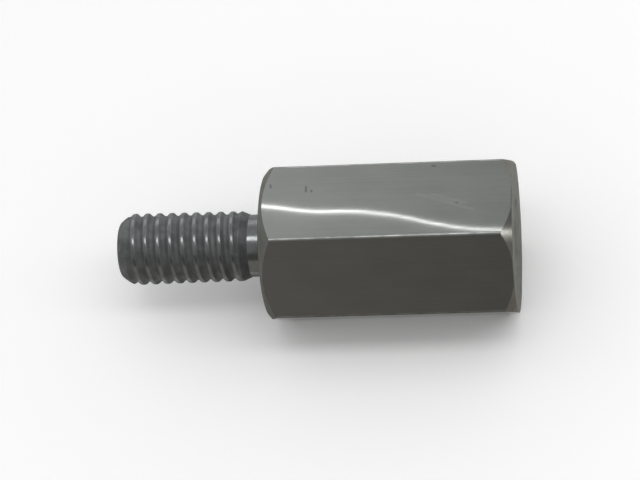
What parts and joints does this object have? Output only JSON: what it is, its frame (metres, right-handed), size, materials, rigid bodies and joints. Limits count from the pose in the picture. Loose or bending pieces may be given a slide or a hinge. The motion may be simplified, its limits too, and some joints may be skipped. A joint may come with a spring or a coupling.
{
  "type": "hex standoff",
  "caption": "Male-female hex standoff in bright plated metal: a hexagonal spacer with chamfered ends, a threaded stud at one end and a blind tapped hole at the other.",
  "frame": {"origin": "centre of the shoulder face, on the thread axis, where the body seats on a panel", "axes": "X along the thread axis, with the stud towards -X and the tapped end facing +X; +Z is the outward normal of the flat that is uppermost when the standoff lies on a bench"},
  "size_m": [0.016, 0.007, 0.006],
  "materials": {
    "plated_metal": "bright nickel plate over turned steel, with faint drawing lines along the flats"
  },
  "bodies": {
    "root": {"hex_standoff": "plated_metal"}
  },
  "joints": []
}
